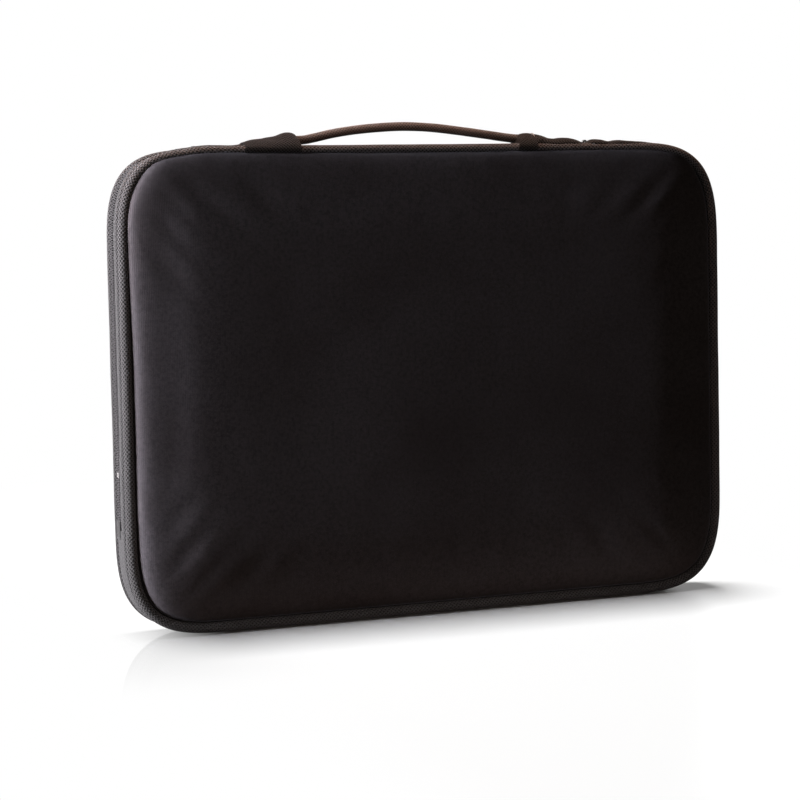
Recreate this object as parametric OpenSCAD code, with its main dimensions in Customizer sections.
// Padded laptop sleeve with a piped edge all round, a three-sided zip and a slim cord handle.
// Units are millimetres. X is the width, Y the depth (front face towards -Y), Z is up.
// Origin: middle of the bottom edge, halfway through the depth.

/* [Sleeve] */
// Overall width across the side pipings
sleeve_w = 366; // [340:1:400]
// Overall height from the bottom piping to the top piping
sleeve_h = 265; // [240:1:290]
// Depth of the edge band, over both pipings
band_t = 27; // [27:0.5:30]
// Radius of the rounded outline corners
corner_r = 42; // [36:1:48]
// How far each padded face swells beyond its piping
crown = 4; // [3:0.5:5]

/* [Piping] */
// Outer radius of the fabric-covered piping
piping_r = 2.9; // [2.7:0.05:3.0]
// Radius of the cord inside the piping
piping_cord_r = 1.9; // [1.5:0.1:2.0]

/* [Padding] */
// Thickness of the face fabric
face_fabric_t = 1.0; // [0.8:0.1:1.2]
// Thickness of a lining sheet
lining_t = 1.0; // [0.6:0.1:1.0]

/* [Zip] */
// Height above the base at which the zip ends on both sides
zip_end_z = 90; // [80:1:120]
// Depth position of the line where the two rows of teeth meet
zip_y = 4.2; // [4.1:0.1:4.3]
// Left slider position along the top, zip closed
slider_left_x = 86; // [84:1:90]
// Right slider position along the top, zip closed
slider_right_x = 104; // [102:1:106]
// Length of a pull tab beyond its pin
tab_len = 20; // [14:1:22]

/* [Handle] */
// Depth position of the handle plane
handle_y = -3.5; // [-3.6:0.1:-3.4]
// Radius of the covered handle cord
handle_r = 2.45; // [2.3:0.05:2.45]
// Radius of the tunnel in each keeper
keeper_bore_r = 2.52; // [2.52:0.01:2.54]
// Height of the tunnel axis below the handle
tunnel_z = 268; // [267.8:0.1:268.2]
// Rise of the grip's crown above the tunnel axis
grip_rise = 7.2; // [6:0.2:10]
// Mouth of the left keeper
left_mouth_x = -73; // [-76:1:-72]
// Mouth of the right keeper
right_mouth_x = 54; // [53:1:57]

/* [Hidden] */
$fn = 64;
gap = 0.1;                                // between neighbouring pieces
overcut = 1;                              // how far a cutter runs past what it cuts
top_z = sleeve_h;
half_t = band_t/2;

// Insets are measured inwards from the sleeve's outline; the y values are half depths
piping_y = half_t - piping_r;             // centreline of each piping
panel_inset = 2*piping_r + 0.2;           // sewn edge of a face panel
seam_y = half_t - 1.2;                    // where a face starts to swell
foam_back_y = half_t - 2;                 // inner side of the face foam
binding_inset = 2*piping_r + gap;
binding_w = 1.5;

gusset_y = half_t - 2*piping_r - gap;     // half width of the gusset between the pipings
gusset_inset = 1.2;                       // outer side of the gusset
gusset_fabric_inner = gusset_inset + 1;   // inner side of each gusset layer
gusset_foam_inner = gusset_inset + 3.5;
gusset_lining_inner = gusset_inset + 4.5;

face_color = [0.10, 0.09, 0.08];
foam_color = [0.35, 0.35, 0.36];
lining_color = [0.16, 0.16, 0.17];
piping_color = [0.24, 0.22, 0.22];
cord_color = [0.75, 0.74, 0.70];
binding_color = [0.12, 0.12, 0.13];
gusset_color = [0.27, 0.25, 0.25];
tape_color = [0.13, 0.12, 0.12];
teeth_color = [0.18, 0.17, 0.17];
slider_color = [0.22, 0.21, 0.21];
tab_color = [0.20, 0.19, 0.19];

// ---- shared shapes ----

// Box between two opposite corners
module block(low, high) {
    translate(low) cube(high - low);
}

// Rounded rectangle, centred, w by h with corner radius r
module outline(w, h, r) {
    square([w - 2*r, h], center = true);
    square([w, h - 2*r], center = true);
    for (sx = [-1, 1], sz = [-1, 1])
        translate([sx*(w/2 - r), sz*(h/2 - r)]) circle(r, $fn = 96);
}

// Upright plate at the given inset with corner radius r, between depths y0 and y1
module rounded_plate(inset, r, y0, y1) {
    translate([0, y1, sleeve_h/2]) rotate([90, 0, 0])
        linear_extrude(y1 - y0) outline(sleeve_w - 2*inset, sleeve_h - 2*inset, r);
}

// Plate whose edge runs parallel to the sleeve's outline
module plate(inset, y0, y1) {
    rounded_plate(inset, corner_r - inset, y0, y1);
}

// Band that follows the outline between two insets and depths y0 and y1
module band(outer, inner, y0, y1) {
    difference() {
        plate(outer, y0, y1);
        plate(inner, y0 - overcut, y1 + overcut);
    }
}

// Round bar of radius r that follows the whole outline at the given inset and depth
module round_ring(inset, r, y) {
    half_run_x = sleeve_w/2 - corner_r;
    half_run_z = sleeve_h/2 - corner_r;
    corner_signs = [[1, 1], [-1, 1], [-1, -1], [1, -1]];
    translate([0, y, sleeve_h/2]) rotate([90, 0, 0]) {
        for (s = [-1, 1]) {
            translate([-half_run_x, s*(sleeve_h/2 - inset), 0])
                rotate([0, 90, 0]) cylinder(r = r, h = 2*half_run_x);
            translate([s*(sleeve_w/2 - inset), half_run_z, 0])
                rotate([90, 0, 0]) cylinder(r = r, h = 2*half_run_z);
        }
        for (q = [0:3])
            translate([corner_signs[q].x*half_run_x, corner_signs[q].y*half_run_z, 0])
                rotate([0, 0, 90*q])
                    rotate_extrude(angle = 90) translate([corner_r - inset, 0]) circle(r);
    }
}

// Keeps the part of its children from z0 up to z0 + height
module slice(z0, height) {
    intersection() {
        children();
        translate([-sleeve_w, -50, z0]) cube([2*sleeve_w, 100, height]);
    }
}

module above_zip_ends() { slice(zip_end_z + gap, sleeve_h) children(); }
module below_zip_ends() { slice(-10, zip_end_z + 10) children(); }
module to_back() { mirror([0, 1, 0]) children(); }

// ---- covers, modelled on the front side ----

// One layer of the crown: step inwards from the sewn edge, corner radius cut, share of the crown
module crown_layer(step, radius_cut, share, t) {
    rounded_plate(panel_inset + step + t, corner_r - panel_inset - radius_cut,
                  -half_t - crown*share + t, -seam_y);
}

// Solid swelling from the sewn edge to the outer face, offset inwards by t
module swell(t) {
    hull() {
        plate(panel_inset + t, -seam_y, -seam_y + 0.5);
        crown_layer(step = 5, radius_cut = 3, share = 0.55, t = t);
        crown_layer(step = 17, radius_cut = 3, share = 0.9, t = t);
        crown_layer(step = 34, radius_cut = 5, share = 1, t = t);
    }
}

module face_fabric() {
    difference() {
        swell(0);
        swell(face_fabric_t);
        // opens the shell towards the inside
        plate(panel_inset + face_fabric_t, -seam_y - 0.1, 0);
    }
}

module foam_pad() {
    inset = face_fabric_t + gap;
    swell(inset);
    plate(panel_inset + inset, -seam_y + 0.1, -foam_back_y);
}

module lining() {
    plate(panel_inset + gap, -foam_back_y + gap, -foam_back_y + gap + lining_t);
}

module piping_cover() {
    difference() {
        round_ring(piping_r, piping_r, -piping_y);
        round_ring(piping_r, piping_cord_r + gap/2, -piping_y);
    }
}

module piping_cord() { round_ring(piping_r, piping_cord_r, -piping_y); }

module seam_binding() {
    band(binding_inset, binding_inset + binding_w,
         -foam_back_y + lining_t + 2*gap, -gusset_y - gap);
}

module front_face_fabric() { color(face_color) face_fabric(); }
module front_foam_pad() { color(foam_color) foam_pad(); }
module front_lining() { color(lining_color) lining(); }
module front_piping() { color(piping_color) piping_cover(); }
module front_piping_cord() { color(cord_color) piping_cord(); }
module front_seam_binding() { color(binding_color) seam_binding(); }

module back_face_fabric() { color(face_color) to_back() face_fabric(); }
module back_foam_pad() { color(foam_color) to_back() foam_pad(); }
module back_lining() { color(lining_color) to_back() lining(); }
module back_piping() { color(piping_color) to_back() piping_cover(); }
module back_piping_cord() { color(cord_color) to_back() piping_cord(); }
module back_seam_binding() { color(binding_color) to_back() seam_binding(); }

// ---- fixed gusset: bottom and lower sides ----
module gusset_layer(outer, inner) {
    below_zip_ends() band(outer, inner, -gusset_y, gusset_y);
}
module gusset_fabric() { color(gusset_color) gusset_layer(gusset_inset, gusset_fabric_inner); }
module gusset_foam() {
    color(foam_color) gusset_layer(gusset_fabric_inner + gap, gusset_foam_inner);
}
module gusset_lining() {
    color(lining_color) gusset_layer(gusset_foam_inner + gap, gusset_lining_inner);
}

// ---- zip gusset: upper sides and top ----
strip_edge_y = zip_y - 3.3;               // folded edge of the front zip strip
row_gap = 1.1;                            // clear lane between the two rows of teeth
row_r = 0.7;
row_front_y = zip_y - row_gap/2 - row_r;
row_back_y = zip_y + row_gap/2 + row_r;
tape_inset = 3.6;                         // outer side of the tapes
tape_t = 0.6;
tape_inner = tape_inset + tape_t;         // inner side of the tapes
tape_front_y = -gusset_y + 2;             // front edge of the front tape
row_inset = tape_inset - row_r - 0.05;
zip_lining_t = 1;

module zip_gusset_strip() {
    color(gusset_color) above_zip_ends()
        band(gusset_inset, gusset_fabric_inner, -gusset_y, strip_edge_y);
}
module zip_gusset_lining() {
    color(lining_color) above_zip_ends()
        band(tape_inner + gap, tape_inner + gap + zip_lining_t, -gusset_y, strip_edge_y);
}
module zipper_tape_front() {
    color(tape_color) above_zip_ends()
        band(tape_inset, tape_inner, tape_front_y, row_front_y + row_r);
}
module zipper_tape_back() {
    color(tape_color) above_zip_ends()
        band(tape_inset, tape_inner, row_back_y - row_r, gusset_y);
}
module zipper_teeth_front() {
    color(teeth_color) above_zip_ends() round_ring(row_inset, row_r, row_front_y);
}
module zipper_teeth_back() {
    color(teeth_color) above_zip_ends() round_ring(row_inset, row_r, row_back_y);
}

// ---- zip ends ----
side_piece_t = 0.5;                       // thickness of a stop or a tab
stop_inset = gusset_inset - 0.05;         // inner side of the stops
end_tab_w = 5.6;

// A thin upright piece on each side of the sleeve, with its inner side at the given inset
module side_pieces(inset, y0, y1, z0, height) {
    for (s = [-1, 1])
        translate([s*(sleeve_w/2 - inset) - (s > 0 ? 0 : side_piece_t), y0, z0])
            cube([side_piece_t, y1 - y0, height]);
}

// Small clamps that end the two rows of teeth
module zipper_end_stops() {
    color([0.45, 0.44, 0.42])
        side_pieces(stop_inset, row_front_y, row_back_y, z0 = zip_end_z - 3.2, height = 2.6);
}

// Sewn tabs that cover the zip ends, outside the stops
module zipper_end_tabs() {
    color([0.22, 0.20, 0.20])
        side_pieces(stop_inset - side_piece_t - gap, zip_y - end_tab_w/2, zip_y + end_tab_w/2,
                    z0 = zip_end_z - 10, height = 11);
}

// ---- zip sliders and their pull tabs, modelled at x = 0 ----
slider_gap = 0.35;                        // from a slider plate to the teeth or tape
slider_plate_t = 1.1;
slider_z = top_z - row_inset + row_r + slider_gap;   // underside of the top plate
tape_under_z = top_z - tape_inner;        // underside of the tapes along the top
slider_w = 5.2;                           // width in depth
slider_body_len = 6.4;                    // straight part, between the cap centres
slider_cap_len = 3.8;                     // part of the cap circle that is kept
pin_z = slider_z + slider_plate_t + 1.35;
pin_r = 0.6;
pin_bore_r = pin_r + 0.06;
eye_r = 1.55;                             // round end of the bridge, about the pin
bridge_w = 2;
bridge_half_len = 2.2;
tab_r = 2.3;                              // half width and end radius of a pull tab
tab_arm_len = 5.2;
tab_arm_w = 0.9;
tab_body_x = -4.6;                        // end of the tab's body nearest the pin
tab_hole_r = 0.9;
tab_hole_x = -tab_len + 2.6;

// Round bar along Y about the pin's axis, centred on the zip line
module pin_bar(r, length) {
    translate([0, zip_y + length/2, pin_z]) rotate([90, 0, 0]) cylinder(r = r, h = length);
}

// Slider plate with a rounded cap at both ends, underside at z
module slider_plate(z) {
    translate([0, zip_y, z]) linear_extrude(slider_plate_t) {
        square([slider_body_len, slider_w], center = true);
        for (s = [-1, 1]) translate([s*slider_body_len/2, 0]) intersection() {
            circle(slider_w/2);
            translate([-slider_cap_len/2, -slider_w/2]) square([slider_cap_len, slider_w]);
        }
    }
}

module slider() {
    lip_y = row_back_y + row_r + 0.2;
    difference() {
        union() {
            slider_plate(slider_z);
            slider_plate(tape_under_z - slider_gap - slider_plate_t);
            // post between the two rows
            block([-3, zip_y - 0.4, tape_under_z - 1], [1, zip_y + 0.4, slider_z + 0.5]);
            // lip beside the back row
            block([-4, lip_y, top_z - tape_inset + 0.3], [4, lip_y + 0.75, slider_z + 0.3]);
            // bridge that carries the pull tab's pin
            block([-bridge_half_len, zip_y - bridge_w/2, slider_z + 0.5],
                  [bridge_half_len, zip_y + bridge_w/2, slider_z + 2.7]);
            pin_bar(eye_r, bridge_w);
        }
        pin_bar(pin_bore_r, 6);
    }
}

// Pull tab lying along -X from its pin
module pull_tab() {
    end_x = -tab_len + tab_r;             // centre of the rounded end
    bottom_z = pin_z - pin_r;
    pin_bar(pin_r, 2*tab_r);
    for (s = [-1, 1])
        translate([-tab_arm_len, zip_y + s*(tab_r - tab_arm_w/2) - tab_arm_w/2, bottom_z])
            cube([tab_arm_len, tab_arm_w, 2*pin_r]);
    difference() {
        union() {
            block([end_x, zip_y - tab_r, bottom_z], [tab_body_x, zip_y + tab_r, pin_z + pin_r]);
            translate([end_x, zip_y, bottom_z]) cylinder(r = tab_r, h = 2*pin_r);
        }
        translate([tab_hole_x, zip_y, pin_z - 2]) cylinder(r = tab_hole_r, h = 4);
    }
}

// The right slider and tab are turned round to face the left ones
module at_left_slider() { translate([slider_left_x, 0, 0]) children(); }
module at_right_slider() { translate([slider_right_x, 0, 0]) mirror([1, 0, 0]) children(); }

module zipper_slider_left() { color(slider_color) at_left_slider() slider(); }
module zipper_slider_right() { color(slider_color) at_right_slider() slider(); }
module pull_tab_left() { color(tab_color) at_left_slider() pull_tab(); }
module pull_tab_right() { color(tab_color) at_right_slider() pull_tab(); }

// ---- handle keepers and the cord ends inside them ----
left_tunnel_end_x = left_mouth_x - 20;    // tunnel ends away from the grip
right_tunnel_end_x = right_mouth_x + 16;
base_z = top_z - gusset_inset + gap;      // underside of everything sewn on the top strip
keeper_r = 3.75;
flap_t = 1.2;
flap_drop_t = 1.1;                        // thickness of the flap's hanging part
flap_front_y = -half_t - flap_t;
flap_back_y = handle_y - 3;
flap_bottom_z = top_z - panel_inset + 0.8;
cord_end_inset = 1;                       // from the tunnel's end to the cord's end
cord_end_reach = 1.5;                     // how far a cord end sticks out of the mouth

// Round bar along the tunnel axis from x0 to x1
module tunnel_bar(x0, x1, r) {
    translate([x0, handle_y, tunnel_z]) rotate([0, 90, 0]) cylinder(r = r, h = x1 - x0);
}

// Folded sleeve with a round tunnel, plus the flap that wraps over the front piping
module keeper(x0, x1) {
    difference() {
        union() {
            tunnel_bar(x0, x1, keeper_r);
            block([x0, handle_y - keeper_r, base_z], [x1, handle_y + keeper_r, tunnel_z]);
            block([x0, flap_front_y, top_z + gap], [x1, flap_back_y, top_z + gap + flap_t]);
            block([x0, flap_front_y, flap_bottom_z],
                  [x1, flap_front_y + flap_drop_t, top_z + flap_t]);
        }
        tunnel_bar(x0 - overcut, x1 + overcut, keeper_bore_r);
    }
}
module handle_keeper_left() { color([0.30, 0.28, 0.28]) keeper(left_tunnel_end_x, left_mouth_x); }
module handle_keeper_right() {
    color([0.30, 0.27, 0.26]) keeper(right_mouth_x, right_tunnel_end_x);
}
module handle_end_left() {
    color([0.30, 0.27, 0.26])
        tunnel_bar(left_tunnel_end_x + cord_end_inset, left_mouth_x + cord_end_reach, handle_r);
}
module handle_end_right() {
    color([0.30, 0.27, 0.26])
        tunnel_bar(right_mouth_x - cord_end_reach, right_tunnel_end_x - cord_end_inset, handle_r);
}

// ---- handle straps and anchors ----
strap_w = 8;
strap_t = 1.8;
strap_z = base_z + gap;                   // lowest underside of a strap
strap_lift = 2.2;                         // main rise of each strap's underside
left_strap_x = -132;                      // outer ends of the straps
right_strap_x = 126;
anchor_len = 12;
anchor_t = 1.4;
anchor_gap = 0.2;                         // between a strap and its anchor
stitch_w = 7;                             // raised bars across an anchor

// Squared sine over the given sweep in degrees, from x = start to start + length
function wave(x, start, length, sweep) =
    pow(sin(sweep*min(1, max(0, (x - start)/length))), 2);

// Height of each strap's underside: one step on the left, two humps on the right
function left_underside(x) = strap_z + strap_lift*wave(x, -116, 14, 90);
function right_underside(x) = strap_z + strap_lift*wave(x, right_tunnel_end_x + 1, 24, 180)
    + 1.3*wave(x, right_tunnel_end_x + 25, 12, 180);

// n + 1 evenly spaced values from x0 to x1
function stations(x0, x1, n) = [for (i = [0:n]) x0 + (x1 - x0)*i/n];

// Flat strap whose underside follows a list of [x, z] points
module strap(underside) {
    upper_side = [for (i = [len(underside) - 1:-1:0]) underside[i] + [0, strap_t]];
    translate([0, handle_y + strap_w/2, 0]) rotate([90, 0, 0])
        linear_extrude(strap_w) polygon(concat(underside, upper_side));
}
module handle_strap_left() {
    color([0.28, 0.26, 0.26])
        strap([for (x = stations(left_strap_x, left_tunnel_end_x - gap, 24))
               [x, left_underside(x)]]);
}
module handle_strap_right() {
    color([0.28, 0.25, 0.24])
        strap([for (x = stations(right_tunnel_end_x + gap, right_strap_x, 48))
               [x, right_underside(x)]]);
}

// Sewn-down plate with a raised bar near each end
module anchor(x0) {
    translate([x0, handle_y - strap_w/2, base_z]) cube([anchor_len, strap_w, anchor_t]);
    for (x = [2, anchor_len - 2])
        translate([x0 + x - 0.5, handle_y - stitch_w/2, base_z + anchor_t - 0.2])
            cube([1, stitch_w, 0.5]);
}
module handle_anchor_left() {
    color([0.25, 0.23, 0.23]) anchor(left_strap_x - anchor_gap - anchor_len);
}
module handle_anchor_right() { color([0.25, 0.23, 0.23]) anchor(right_strap_x + anchor_gap); }

// ---- handle cord between the mouths: two straight legs and an arched grip ----
leg_len = 22;
leg_trim = 3;                             // taken off the upper end of a leg
leg_rise = 4.6;
leg_angle = asin(leg_rise/leg_len);
leg_start = 4.5;                          // from a mouth to the foot of its leg
leg_z = tunnel_z + 0.4;
left_leg_x = left_mouth_x + leg_start;
right_leg_x = right_mouth_x - leg_start;

grip_x0 = left_leg_x + leg_len;
grip_x1 = right_leg_x - leg_len;
grip_core_r = 1.5;
chord = grip_x1 - grip_x0;
sagitta = grip_rise - leg_rise - 0.2;
arc_r = (chord*chord/4 + sagitta*sagitta)/(2*sagitta);
arc_angle = 2*asin(chord/2/arc_r);

// Leg rising towards +X, with a short crosswise cylinder at its foot
module leg() {
    rotate([0, 90 - leg_angle, 0]) cylinder(r = handle_r, h = leg_len - leg_trim);
    rotate([90, 0, 0]) cylinder(r = handle_r, h = 2*handle_r, center = true);
}
module handle_leg_left() {
    color([0.31, 0.28, 0.27]) translate([left_leg_x, handle_y, leg_z]) leg();
}
module handle_leg_right() {
    color([0.29, 0.26, 0.25]) translate([right_leg_x, handle_y, leg_z]) mirror([1, 0, 0]) leg();
}

// Round bar of radius r along the grip's arc
module grip(r) {
    translate([(grip_x0 + grip_x1)/2, handle_y, tunnel_z + grip_rise - arc_r])
        rotate([90, 0, 0]) rotate([0, 0, 90 - arc_angle/2])
            rotate_extrude(angle = arc_angle, $fn = 96)
                translate([arc_r, 0]) circle(r, $fn = 48);
}
module handle_grip_cover() {
    color([0.31, 0.28, 0.27]) difference() {
        grip(handle_r);
        grip(grip_core_r + gap/2);
    }
}
module handle_grip_core() { color(cord_color) grip(grip_core_r); }

front_face_fabric();
front_foam_pad();
front_lining();
front_piping();
front_piping_cord();
front_seam_binding();
back_face_fabric();
back_foam_pad();
back_lining();
back_piping();
back_piping_cord();
back_seam_binding();
gusset_fabric();
gusset_foam();
gusset_lining();
zip_gusset_strip();
zip_gusset_lining();
zipper_tape_front();
zipper_tape_back();
zipper_teeth_front();
zipper_teeth_back();
zipper_end_stops();
zipper_end_tabs();
zipper_slider_left();
zipper_slider_right();
pull_tab_left();
pull_tab_right();
handle_keeper_left();
handle_keeper_right();
handle_strap_left();
handle_strap_right();
handle_anchor_left();
handle_anchor_right();
handle_end_left();
handle_end_right();
handle_leg_left();
handle_leg_right();
handle_grip_cover();
handle_grip_core();
